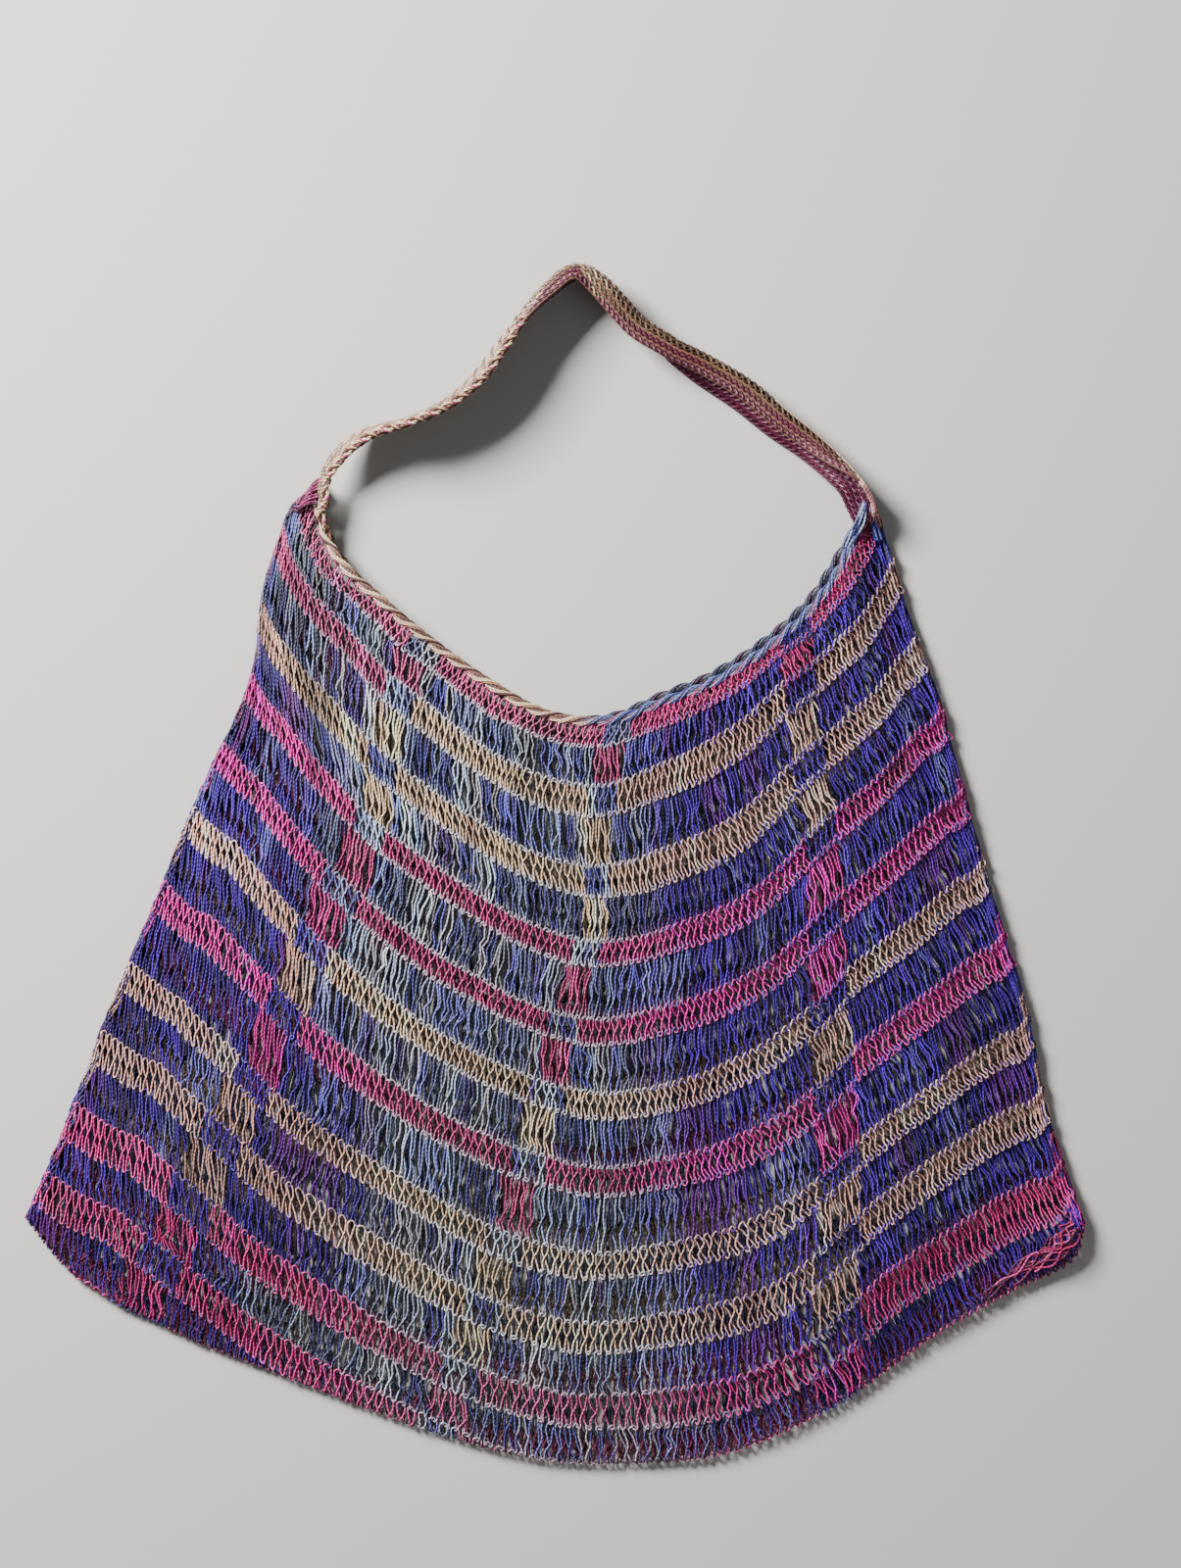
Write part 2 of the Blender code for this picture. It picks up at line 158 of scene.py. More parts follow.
def lay(u, v, wall):
    """Points in millimetres on the front (0) or back (1) wall at shares across and down; past the
    bottom (v over 1) the front goes round its fold."""
    grid, widths, heights = PLANS[wall]
    quarter = FOLD_RADIUS * (math.pi / 2 - 1)
    width = np.interp(v, np.linspace(0, 1, len(widths)), widths)
    height = np.interp(u, np.linspace(0, 1, len(heights)), heights)

    def folded(run):
        bend = FOLD_RADIUS * (1 - np.cos(np.minimum(run / FOLD_RADIUS, math.pi / 2)))
        return np.where(run < FOLD_RADIUS * math.pi / 2, bend, run - quarter)

    side = np.minimum(u, 1 - u) * (width + 2 * quarter)
    in_side = folded(np.abs(side)) / width
    flat_u = np.where(u < 0.5, in_side, 1 - in_side)
    rise_u = np.sin(np.clip(side / FOLD_RADIUS, -math.pi / 2, math.pi / 2))
    low = (1 - v) * (height + quarter)
    flat_v = 1 - folded(np.abs(low)) / height
    rise_v = np.sin(np.clip(low / FOLD_RADIUS, -math.pi / 2, math.pi / 2))
    column, row = flat_u * (grid.shape[1] - 1), flat_v * (grid.shape[0] - 1)
    i = np.clip(np.floor(column).astype(int), 0, grid.shape[1] - 2)
    j = np.clip(np.floor(row).astype(int), 0, grid.shape[0] - 2)
    a, b = (column - i)[..., None], (row - j)[..., None]
    plan = (1 - b) * ((1 - a) * grid[j, i] + a * grid[j, i + 1])
    plan = plan + b * ((1 - a) * grid[j + 1, i] + a * grid[j + 1, i + 1])
    top = front_height(flat_u, flat_v, plan[..., 0], plan[..., 1])
    middle = top / 2 if wall == 0 else np.full(top.shape, FOLD_HEIGHT / 2)
    middle = np.minimum(middle, TURN_LIMIT)
    rise = rise_u * rise_v
    up, down = top - HALF_NET - middle, middle - HALF_NET
    z = middle + rise * np.where(rise > 0, up, down) if wall == 0 else middle - rise * down
    return np.concatenate([plan, z[..., None]], axis=-1)


# Yarn of the net: two-ply dyed yarn of 1.1 mm, matt and a little hairy. Its colour comes from the dye
# on each stitch, with painted shade in the groove between the plies; the twist and the fibres are bump.
class Wire:
    """A shader value; sums of wires and numbers make Math nodes."""

    tree = None

    def __init__(self, socket):
        self.socket = socket

    @classmethod
    def node(cls, kind, inputs=(), output=0, **settings):
        made = cls.tree.nodes.new(kind)
        for key, value in settings.items():
            setattr(made, key, value)
        for key, value in dict(inputs).items():
            if isinstance(value, Wire):
                cls.tree.links.new(value.socket, made.inputs[key])
            else:
                made.inputs[key].default_value = value
        return cls(made.outputs[output])

    def maths(self, operation, *others):
        return Wire.node("ShaderNodeMath", enumerate((self, *others)), operation=operation)

    def __add__(self, other):
        return self.maths("ADD", other)

    def __mul__(self, other):
        return self.maths("MULTIPLY", other)

    __radd__, __rmul__ = __add__, __mul__

    def tint(self, colour):
        """The colour scaled by this value."""
        inputs = {0: colour, "Scale": self}
        return Wire.node("ShaderNodeVectorMath", inputs, operation="SCALE")


def yarn_material(name, twist, depth, sheen=0.05):
    """Dyed yarn: colour from the dye, plies twist times in a millimetre, bump of that depth."""
    made = bpy.data.materials.new(name)
    made.use_nodes = True
    Wire.tree = made.node_tree
    shader = made.node_tree.nodes["Principled BSDF"]
    dye = Wire.node("ShaderNodeAttribute", attribute_name="dye")
    run = Wire.node("ShaderNodeAttribute", output=1, attribute_name="run")
    split = Wire.node("ShaderNodeSeparateXYZ", {0: run})
    length, turn = split, Wire(split.socket.node.outputs[1])
    ply = (length * (2 * math.pi * twist) + turn * (4 * math.pi)).maths("SINE") * 0.5 + 0.5
    place = Wire.node("ShaderNodeTexCoord", output=3)
    fibres = Wire.node("ShaderNodeTexNoise", {"Vector": place, "Scale": 1500.0, "Detail": 3.0})
    # Painted shade: the colour darkens in the groove between the plies; the fibre noise varies the tone at
    # random
    tone = (ply * 0.45 + 0.625) * (fibres * 0.6 + 0.75)
    made.node_tree.links.new(tone.tint(dye).socket, shader.inputs["Base Color"])
    relief = ply * 0.7 + fibres * 0.5
    bump = Wire.node("ShaderNodeBump", {"Height": relief, "Distance": depth, "Strength": 0.8})
    made.node_tree.links.new(bump.socket, shader.inputs["Normal"])
    shader.inputs["Roughness"].default_value = 0.55
    shader.inputs["Specular IOR Level"].default_value = 0.4
    shader.inputs["Sheen Weight"].default_value = sheen
    shader.inputs["Sheen Roughness"].default_value = 0.45
    return made


def linear(colour):
    """A colour given as 0 to 255 on a screen, as light."""
    share = np.asarray(colour, dtype=float) / 255.0
    return np.where(share <= 0.04045, share / 12.92, ((share + 0.055) / 1.055) ** 2.4)


def blend(first, second, share):
    return first + (second - first) * np.asarray(share)[..., None]


# Painted shade: share of the dye left on the side of a yarn that is turned in; the side turned out keeps it
# all
SHADED_SIDE_SHARE = 0.08


def tube_parts(line, normals, radius, sides, dye, closed):
    """Vertices, quads, end caps, lengths and colours of one yarn."""
    points = len(line)
    ends = (np.roll(line, -1, axis=0), np.roll(line, 1, axis=0)) if closed else None
    travel = unit(ends[0] - ends[1]) if closed else unit(np.gradient(line, axis=0))
    side = unit(np.cross(travel, normals))
    up = np.cross(side, travel)
    angles = math.pi / 2 + 2 * math.pi * np.arange(sides) / sides
    ring = np.cos(angles)[:, None] * side[:, None] + np.sin(angles)[:, None] * up[:, None]
    thick = np.broadcast_to(np.asarray(radius, dtype=float), points)
    vertices = line[:, None] + ring * thick[:, None, None]
    number = np.arange(points * sides).reshape(points, sides)
    here = number if closed else number[:-1]
    ahead = np.roll(number, -1, axis=0) if closed else number[1:]
    quads = np.stack([here, np.roll(here, -1, axis=1), np.roll(ahead, -1, axis=1), ahead], axis=-1)
    steps = np.linalg.norm(np.diff(line, axis=0), axis=1)
    length = np.concatenate([[0.0], np.cumsum(steps)])
    before = length if closed else length[:-1]
    after = np.append(length[1:], length[-1] + steps[-1]) if closed else length[1:]
    run = np.empty((*here.shape, 4, 2))
    for corner, (place, shift) in enumerate(((before, 0), (before, 1), (after, 1), (after, 0))):
        run[:, :, corner, 0] = place[:, None]
        run[:, :, corner, 1] = (np.arange(sides) + shift) / sides
    caps = np.zeros((0, sides), dtype=int) if closed else np.stack([number[0, ::-1], number[-1]])
    # Painted shade: each yarn's dye darkens from its outward top round to the side turned in
    shade = np.tile(SHADED_SIDE_SHARE + (1.0 - SHADED_SIDE_SHARE) * (0.5 + 0.5 * np.sin(angles)) ** 1.7, points)
    colour = np.repeat(np.asarray(dye, dtype=float), sides, axis=0) * shade[:, None]
    return vertices.reshape(-1, 3), quads.reshape(-1, 4), caps, run.reshape(-1, 2), colour


def tubes(name, yarns, radius, sides, material, closed=False):
    """Yarns as one joined mesh; each is its line, the directions out of the cloth, its dye and,
    where it varies, its thickness as a share."""
    parts = []
    for line, normals, dye, *thick in yarns:
        parts.append(tube_parts(line, normals, radius * (thick[0] if thick else 1.0), sides, dye, closed))
    starts = np.concatenate(([0], np.cumsum([len(part[0]) for part in parts])[:-1]))
    vertices = np.concatenate([part[0] for part in parts])
    quads = np.concatenate([part[1] + start for part, start in zip(parts, starts)])
    caps = np.concatenate([part[2] + start for part, start in zip(parts, starts)])
    run = np.concatenate([part[3] for part in parts] + [np.zeros((caps.size, 2))])
    colour = np.ones((len(vertices), 4))
    colour[:, :3] = np.concatenate([part[4] for part in parts])
    corners = np.concatenate([quads.ravel(), caps.ravel()])
    sizes = np.concatenate([np.full(len(quads), 4), np.full(len(caps), sides)])
    mesh = bpy.data.meshes.new(name)
    mesh.vertices.add(len(vertices))
    mesh.vertices.foreach_set("co", (vertices * 0.001).ravel())
    mesh.loops.add(len(corners))
    mesh.loops.foreach_set("vertex_index", corners)
    mesh.polygons.add(len(sizes))
    mesh.polygons.foreach_set("loop_start", np.concatenate(([0], np.cumsum(sizes)[:-1])))
    mesh.update(calc_edges=True)
    mesh.attributes.new("dye", "FLOAT_COLOR", "POINT").data.foreach_set("color", colour.ravel())
    mesh.uv_layers.new(name="run").data.foreach_set("uv", run.ravel())
    mesh.shade_smooth()
    mesh.materials.append(material)
    made = bpy.data.objects.new(name, mesh)
    bpy.context.scene.collection.objects.link(made)
    return made


# Net: rounds of hourglass looping. Each stitch arches round the loop above, runs down in a twisted
# pair, crosses at its waist and ends in a loop for the next round. Short rounds in pink, magenta or
# beige stand between tall blue ones; in three columns they change places, and the middle is paler.
YARN_RADIUS = 0.5
NET_LENGTH = 385.0  # millimetres down its middle
# Stitches a wall's width at a tenth, two tenths and so on across, for three rounds
DENSITY = {
    2: [88, 96, 107, 110, 130, 115, 110, 104, 98],
    10: [114, 118, 122, 116, 130, 116, 114, 122, 120],
    19: [128, 125, 108, 103, 110, 118, 106, 142, 150],
}
# Stitches across a wall in which the colours' places are counted
COLUMNS = 126
# Ends of the rounds down the middle of the net, as shares of its length
ROUND_ENDS = [
    0.0, 0.027, 0.080, 0.120, 0.187, 0.227, 0.287, 0.320, 0.393, 0.427, 0.493, 0.527, 0.593,
    0.631, 0.707, 0.740, 0.800, 0.840, 0.900, 0.946, 1.000, 1.045, 1.105, 1.160,
]
# Half a stitch: share of a stitch across, share of the round down, millimetres down, millimetres out
HALF_STITCH = [
    (0.00, 1.00, 0.90, 0.00), (0.15, 1.00, 0.55, 0.40), (0.23, 0.97, 0.00, 0.45),
    (0.25, 0.87, 0.00, 0.30), (0.34, 0.77, 0.00, 0.30), (0.50, 0.66, 0.00, 0.40),
    (0.67, 0.54, 0.00, 0.20), (0.79, 0.40, 0.00, 0.00), (0.84, 0.25, 0.00, 0.00),
    (0.86, 0.10, 0.20, -0.10), (0.82, 0.00, 0.30, -0.45), (0.68, 0.00, -0.60, -0.40),
    (0.50, 0.00, -0.90, 0.00),
]
# Where the waist is in that table, as a share of the round
WAIST = 0.66
STITCH = np.array(HALF_STITCH + [(1 - a, b, c, -d) for a, b, c, d in HALF_STITCH[11:0:-1]])
BACK_STITCH = STITCH[[0, 2, 4, 6, 8, 10, 12, 14, 16, 18, 20, 22]]
# Light rounds from the mouth down; blue rounds stand between them
LIGHT = [
    "pink", "beige", "beige", "magenta", "magenta", "beige", "magenta", "beige", "beige", "pink", "pink",
]
# The dyes where they are full and where they are paler, and the mixed blues of the paler patch
FULL = {
    "pink": (252, 34, 150), "magenta": (255, 6, 176), "beige": (252, 190, 172), "blue": (68, 8, 164),
}
PALE_DYES = {
    "pink": (214, 88, 146), "magenta": (204, 60, 128), "beige": (244, 208, 168), "blue": (114, 114, 172),
}
PALE_PATCH_BLUES = np.array([
    (184, 202, 220), (92, 100, 142), (180, 176, 174), (64, 52, 156), (40, 32, 104), (136, 158, 196),
])
# Stray tints: dull rose in light rounds, purple and lilac in blue ones, pale loops where rounds join
DULL_ROSE, PURPLE, LILAC, PALE_LOOP = (150, 92, 100), (132, 30, 132), (136, 140, 230), (220, 220, 232)
# Columns where the colours change places: stitch at the first round, drift in a round, half width
SWAPS = [(33.2, -0.85, 2.6), (67.5, -0.9, 2.1), (100.4, -0.35, 3.0)]
# How far the first round's loops reach under the mouth's cord
LAP = 2.0
UP = np.array([0.0, 0.0, 1.0])
rng = np.random.default_rng(1207)


def field(shape, cells, strength):
    """Smooth random values on a grid, for bilinear reading by shares."""
    values = rng.normal(0.0, strength, cells)
    rows = np.linspace(0, cells[0] - 1, shape[0])
    columns = np.linspace(0, cells[1] - 1, shape[1])
    tall = np.array([np.interp(rows, np.arange(cells[0]), column) for column in values.T]).T
    return np.array([np.interp(columns, np.arange(cells[1]), row) for row in tall])


def read(grid, u, v):
    """Values of such a grid at shares across and down."""
    row = np.clip(v, 0, 0.9999) * (grid.shape[0] - 1)
    column = np.clip(u, 0, 0.9999) * (grid.shape[1] - 1)
    j, i = row.astype(int), column.astype(int)
    b, a = row - j, column - i
    upper = (1 - a) * grid[j, i] + a * grid[j, i + 1]
    return (1 - b) * upper + b * ((1 - a) * grid[j + 1, i] + a * grid[j + 1, i + 1])


# Unevenness of the looping, across and down in millimetres: broad, and from stitch to stitch
SHIFT = field((61, 253), (9, 22), 1.5), field((61, 253), (9, 22), 1.3)
WAVE = field((241, 1009), (81, 120), 0.85), field((241, 1009), (61, 75), 0.5)


def round_ends(u, row):
    """Share down the net at the start of a round; the rounds ride up towards the left."""
    end = ROUND_ENDS[row]
    shares = [0.0, 0.08, 0.12, 0.165, 0.23, 0.28, 0.34, 0.39, 0.45, 0.5]
    ride = np.interp(u, shares, [0.6, 1.0, 0.93, 0.78, 0.52, 0.38, 0.27, 0.18, 0.08, 0.0])
    depth = np.interp(
        end, [0.0, 0.1, 0.3, 0.5, 0.7, 0.92, 1.05], [0.0, 0.045, 0.061, 0.092, 0.094, 0.106, 0.115]
    )
    right = 0.024 * max(1 - end, 0) * min(end * 20, 1) * np.exp(-(((u - 0.77) / 0.12) ** 2))
    edge = np.interp(u, [0.70, 0.80, 0.95, 0.985, 1.0], [0.0, 0.023, 0.023, 0.0, -0.012])
    edge = edge * np.interp(end, [0.0, 0.1, 0.25, 0.9, 1.0], [0.0, 0.3, 1.0, 1.0, 0.0])
    return np.minimum(end - depth * ride - right - edge, 1.05)


def paleness(x, y):
    """How far the dye is paler at a place in plan, over a band down the middle left."""
    left = np.interp(y, [-320, -160, -60, 40, 140], [-110, -98, -122, -124, -150])
    right = np.interp(y, [-320, -240, -60, 140], [85, 60, 52, 42])
    return smooth_step((x - left + 18) / 45) * smooth_step((right + 20 - x) / 60)


def dye_of(row, place, x, y, down, stitch, seed):
    """Colour of each point of a round: places in stitches and in plan, share down, stitch numbers."""
    chance = np.random.default_rng(seed)
    light = row % 2 == 0
    name = LIGHT[min(row // 2, len(LIGHT) - 1)]
    pale_share = paleness(x, y) * (0.9 if light else 1.0)
    if row == 19:  # this tall round is paler almost all the way across
        pale_share = np.maximum(pale_share, smooth_step((120 - x) / 80) * smooth_step((x + 190) / 60))
    blue = blend(linear(FULL["blue"]), linear(PALE_DYES["blue"]), pale_share)
    bright = blend(linear(FULL[name]), linear(PALE_DYES[name]), pale_share)
    if row == 2:  # the first beige round is pink on its left
        pink = blend(linear(FULL["pink"]), linear(PALE_DYES["pink"]), pale_share)
        bright = blend(bright, pink, smooth_step((31 - place) / 2))
    swapped = np.zeros(x.shape)
    for middle, drift, half in SWAPS:
        swapped = np.maximum(swapped, (np.abs(place - middle - drift * row) < half).astype(float))
    index = (np.floor(stitch) - np.floor(stitch.min())).astype(int)
    turns = chance.uniform(0, 6, index.max() + 1)
    turns = np.where(chance.uniform(0, 1, len(turns)) < 0.5, np.roll(turns, 1), turns)
    patch_blue = linear(PALE_PATCH_BLUES[turns.astype(int)[index]])
    blue = blend(blue, patch_blue, 0.75 * pale_share)
    if light:
        blue = blue * (1 + 0.7 * pale_share)[..., None]
    own = blend(bright, blue, swapped if light else 1 - swapped)
    each = np.exp(chance.normal(0.0, 0.18 if light else 0.38, index.max() + 1))[index]
    slow = np.interp(place, np.arange(-6, 140, 6), chance.normal(1.0, 0.12, 25))
    crowded = smooth_step((-70.0 - x) / 50) * smooth_step((y - 20.0) / 60)
    each = each ** (1 + (1.9 if light else 0.5) * crowded)
    # Painted shade: the dye is darkened over the upper left and, in blue rounds, along the left side
    shadow = 0.42 * crowded
    shadow = shadow + (0.0 if light else 0.32) * smooth_step((-60.0 - x) / 110)
    # Painted light: the dye is brightened towards the bottom of the net
    painted_light_at_bottom = 0.3 * smooth_step((-235.0 - y) / 30)
    own = own * (each * slow * (1 + painted_light_at_bottom - shadow))[..., None]
    hue = np.interp(place, np.arange(-4, 140, 3.5), chance.uniform(0, 1, 42))
    if light:
        own = blend(own, linear(DULL_ROSE), 0.35 * smooth_step((hue - 0.7) / 0.2) * (1 - swapped))
    else:
        purple = 0.5 * smooth_step((hue - 0.72) / 0.2) * (1 - 0.6 * pale_share) * (1 - swapped)
        lilac = 0.5 * smooth_step((0.25 - hue) / 0.2) * (1 - swapped)
        own = blend(blend(own, linear(PURPLE), purple), linear(LILAC), lilac)
    joint = np.clip(1 - np.minimum(down if row else 1.0, 1 - down) * 12, 0, 1)
    pale = joint * (0.08 + 0.56 * pale_share * smooth_step((x + 128) / 45))
    return np.clip(blend(own, linear(PALE_LOOP), pale), 0.0, 1.0)


def slope(u, row):
    """How many stitches a round's yarns lean to the right on their way down."""
    if row % 2:
        return 2.0 - 1.9 * smooth_step(u / 0.35) + 1.2 * smooth_step((u - 0.6) / 0.2)
    return 1.2 - 1.2 * smooth_step(u / 0.5) + 0.7 * smooth_step((u - 0.55) / 0.25)


def knit(wall, rows, stitch_path):
    """Line, normals and dye of each round of one wall."""
    yarns = []
    for row in rows:
        chance = np.random.default_rng(77 + row + 60 * wall)
        tall = row % 2
        fine = np.linspace(-0.06, 1.06, 225)
        density = [np.interp(row, list(DENSITY), column) for column in zip(*DENSITY.values())]
        counted = np.cumsum(np.interp(fine, np.linspace(0.1, 0.9, 9), density)) * (fine[1] - fine[0])
        counted -= np.interp(0.0, fine, counted)
        counted = counted * (1.3 if wall else 1.0)
        number = np.arange(-3, int(np.interp(1.0, fine, counted)) + 4)

        def each(low, high):
            """A random value for each stitch, at all of its points."""
            return np.repeat(chance.uniform(low, high, len(number)), len(stitch_path))

        across, down, extra, out = (np.tile(stitch_path[:, k], len(number)) for k in range(4))
        waist = each(0.52, 0.76) if tall else each(0.47, 0.55)
        below = waist + (down - WAIST) * (1 - waist) / (1 - WAIST)
        down = np.where(down < WAIST, down * waist / WAIST, below)
        inner = np.exp(-(((down - 0.28) / 0.28) ** 2))
        girth = each(0.35, 0.95) if tall else each(0.9, 1.1)
        across = 0.5 + (across - 0.5) * (1 + (girth - 1) * inner)
        across = across + each(-0.12, 0.12) * np.sin(math.pi * np.clip(down, 0, 1))
        out = out * each(0.8, 1.3) + each(-0.5, 0.5) * np.sin(math.pi * np.clip(down, 0, 1))
        stitch = np.repeat(number, len(stitch_path)) + across + 0.5 * tall
        if not tall:
            ends = np.exp(-(((1 - down) / 0.16) ** 2)) - np.exp(-((down / 0.16) ** 2))
            stitch = stitch + 0.34 * ends * smooth_step((np.interp(stitch, counted, fine) - 0.45) / 0.2)
            out = out + (0.5 - 0.5 * wall) * np.abs(ends)
        lean = slope(np.clip(np.interp(stitch, counted, fine), 0, 1), row) + each(-0.4, 0.4) * tall
        u = np.interp(stitch + lean * (np.clip(down, 0, 1) - 0.5), counted, fine)
        if wall:
            start, end = (np.full(u.shape, 0.004 + 0.956 * ROUND_ENDS[row + k]) for k in (0, 1))
        else:
            start, end = round_ends(u, row), round_ends(u, row + 1)
        keep = (u > -0.012) & (u < 1.012) & (start < 1.035)
        u, down, extra, out, stitch, start, end = (
            values[keep] for values in (u, down, extra, out, stitch, start, end)
        )
        extra = extra * (1 + 0.8 * smooth_step((u - 0.5) / 0.2))
        out = out * (1 + (0.3 if tall else 0.9) * smooth_step((u - 0.5) / 0.2))
        if row == 0 and wall == 0:
            extra = extra - LAP * np.clip(1 - down / 0.12, 0, 1)
            out = out * 0.6
        v = start + (end - start) * down + extra / NET_LENGTH
        v = v + (read(SHIFT[1], u, v) * 0.7 + read(WAVE[1], u, v) * (0.9 if tall else 0.5)) / NET_LENGTH
        width = np.interp(v, np.linspace(0, 1, 241), PLANS[wall][1])
        calm = smooth_step(u / 0.03) * smooth_step((1 - u) / 0.03)
        here = lay(u, v, wall)
        dye = dye_of(row, u * COLUMNS, here[:, 0], here[:, 1], down, stitch, 500 + row + 40 * wall)
        u = u + calm * (read(SHIFT[0], u, v) + read(WAVE[0], u, v) * (1.15 if tall else 0.6)) / width
        here = lay(u, v, wall)
        aside = lay(u + 0.002, v, wall) - lay(u - 0.002, v, wall)
        ahead = lay(u, v + 0.002, wall) - lay(u, v - 0.002, wall)
        normal = unit(np.cross(ahead, aside)) * (1.0 if wall == 0 else -1.0)
        line = here + normal * out[:, None]
        line[:, 2] = np.maximum(line[:, 2], YARN_RADIUS + 0.05)
        thick = 0.92 + 0.24 * smooth_step((0.5 - u) / 0.3) * smooth_step((0.66 - v) / 0.3)
        # Painted shade: the back wall's dye is darkened to 0.42 as shade inside the bag
        yarns.append((line, normal, dye * (0.42 if wall else 1.0), 1.5 if wall else thick))
    return yarns


def gathered_corner():
    """Loops drawn together along the right end of the bottom."""
    chance = np.random.default_rng(31)
    shares = np.linspace(0.0, 1.0, 80)
    table = [(203.0, -241.0), (222.0, -230.5), (240.0, -220.0), (256.0, -211.0), (268.0, -203.0)]
    edge = along(table + [(273.0, -195.0), (274.5, -186.5), (272.5, -179.0)], shares)
    inward = left_normals(edge)
    yarns = []
    tones = [(206, 36, 108), (122, 18, 70), (226, 76, 140), (160, 26, 92), (84, 16, 60), (214, 92, 150)]
    for number in range(11):
        first, last = chance.uniform(0.16, 0.55), chance.uniform(0.86, 1.0)
        part = first + (last - first) * shares
        rows = [np.interp(part, shares, column) for column in np.concatenate([edge, inward], axis=1).T]
        plan, aside = np.stack(rows[:2], axis=1), np.stack(rows[2:], axis=1)
        swell = smooth_step(part / 0.75)
        wave = np.sin(2 * math.pi * (part * chance.uniform(3.5, 6.0) + chance.uniform(0, 1)))
        reach = 0.9 + (0.1 + 0.9 * swell) * (0.95 * number + 2.2 + 2.2 * wave)
        reach = reach * (1 - 0.5 * smooth_step((shares - 0.88) / 0.12))
        plan = plan + aside * reach[:, None]
        top = front_height(0.99, 0.99, plan[:, 0], plan[:, 1]) - HALF_NET
        depth = np.clip(reach / FOLD_RADIUS, 0, 1)
        z = 4.4 + (top - 4.4) * np.sqrt(1 - (1 - depth) ** 2) + 0.9 + 0.5 * np.cos(9 * part + number)
        line = np.concatenate([plan, z[:, None]], axis=1)
        dye = np.broadcast_to(linear(tones[number % len(tones)]), line.shape)
        yarns.append((line, np.broadcast_to(UP, line.shape), dye, 1.15))
    return yarns


net_yarn = yarn_material("net_yarn", 0.45, 0.00025)
front_pieces, back_pieces = [], []
for name, first, last in (("upper", 0, 6), ("middle", 6, 12), ("lower", 12, 18), ("bottom", 18, 23)):
    yarns = knit(0, range(first, last), STITCH) + (gathered_corner() if name == "bottom" else [])
    front_pieces.append(tubes("net_front_" + name, yarns, YARN_RADIUS, 4, net_yarn))
for name, first, last in (("upper", 0, 10), ("lower", 10, 21)):
    yarns = knit(1, range(first, last), BACK_STITCH)
    back_pieces.append(tubes("net_back_" + name, yarns, YARN_RADIUS, 3, net_yarn))
for piece in front_pieces + back_pieces:
    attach(piece, "root")
    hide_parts("net_body")

# Cord round the mouth: two plies of five yarns twisted over a core, oval, a closed ring from
# horn to horn and back. Brown and beige on the left half, pale blue on the right half.
CORD_STEPS, CORD_YARNS, CORD_YARN_RADIUS, CORE_RADIUS = 430, 10, 0.62, 1.35
# Length of one twist, and the heights of the front and of the back
TWIST_LENGTH, FRONT_LEVEL, BACK_LEVEL = 24.0, 7.95, 2.35
# How far each ply lies from the cord's middle and each yarn from its ply's, aside and up
PLY_SWING, YARN_SWING = (1.35, 0.6), (0.98, 0.94)


def flat_normals(line):
    """Directions to the left of a line, lying flat."""
    return np.pad(left_normals(line), ((0, 0), (0, 1)))


shares = np.linspace(0.0, 1.0, CORD_STEPS + 1)
line = along(MOUTH_LINE, shares)
cord_normals = left_normals(line)
edge = line - cord_normals * CORD_REACH
lip = front_height(shares, np.zeros_like(shares), edge[:, 0], edge[:, 1])
front = np.column_stack([line, np.maximum(FRONT_LEVEL, lip - HALF_NET)])
back_line = line + cord_normals * back_shift(shares)[:, None]
back = np.column_stack([back_line, np.full(len(line), BACK_LEVEL)])
aside, level = flat_normals(line), np.broadcast_to(UP, front.shape)


def horn_turn(end, first):
    """The cord's turn over a horn: its middle, the directions aside and the directions out."""
    angle = math.pi * np.arange(1, 12)[:, None] / 12
    ahead = np.array([aside[end, 1], -aside[end, 0], 0.0]) * (1.0 if end else -1.0)
    out = np.sin(angle) * ahead + first * np.cos(angle) * UP
    middle = np.array([*line[end], (FRONT_LEVEL + BACK_LEVEL) / 2]) + (FRONT_LEVEL - BACK_LEVEL) / 2 * out
    return middle, np.broadcast_to(aside[end], out.shape), out


ring = zip((front, aside, level), horn_turn(-1, 1.0), (back[::-1], aside[::-1], -level), horn_turn(0, -1.0))
centres, sides_out, ups = (np.concatenate(parts) for parts in ring)
steps = np.linalg.norm(np.roll(centres, -1, axis=0) - centres, axis=1)
right_half = smooth_step((centres[:, 0] - 8.0) / 20.0)
turning = np.cumsum(steps) / TWIST_LENGTH * 2 * math.pi
turning *= round(turning[-1] / (2 * math.pi)) * 2 * math.pi / turning[-1]
strands = []
for number in range(CORD_YARNS):
    angle = math.pi * (number % 2) - turning
    spin = 2 * math.pi * (number // 2) / 5 - turning
    flat = (PLY_SWING[0] * np.cos(angle) + YARN_SWING[0] * np.cos(spin))[:, None] * sides_out
    tall = (PLY_SWING[1] * np.sin(angle) + YARN_SWING[1] * np.sin(spin))[:, None] * ups
    strands.append(centres + flat + tall)
BROWNS = [
    (236, 200, 160), (222, 178, 136), (170, 122, 92), (244, 212, 176), (112, 70, 56),
    (234, 196, 158), (206, 160, 120), (84, 50, 52), (240, 206, 168), (150, 104, 80),
]
PALE_BLUES = [
    (120, 138, 184), (176, 190, 212), (66, 66, 140), (150, 166, 200), (96, 110, 168),
    (54, 44, 122), (190, 200, 216), (110, 126, 178), (150, 74, 126), (84, 94, 160),
]
brown, blues = (np.array([linear(c) for c in tones]) for tones in (BROWNS, PALE_BLUES))
cord_dye = blend(brown[:, None], blues[:, None], np.broadcast_to(right_half, (CORD_YARNS, len(centres))))
cord_dye = cord_dye * rng.normal(1.0, 0.08, (CORD_YARNS, 1, 1))
cord_yarn = yarn_material("cord_yarn", 0.45, 0.00025)
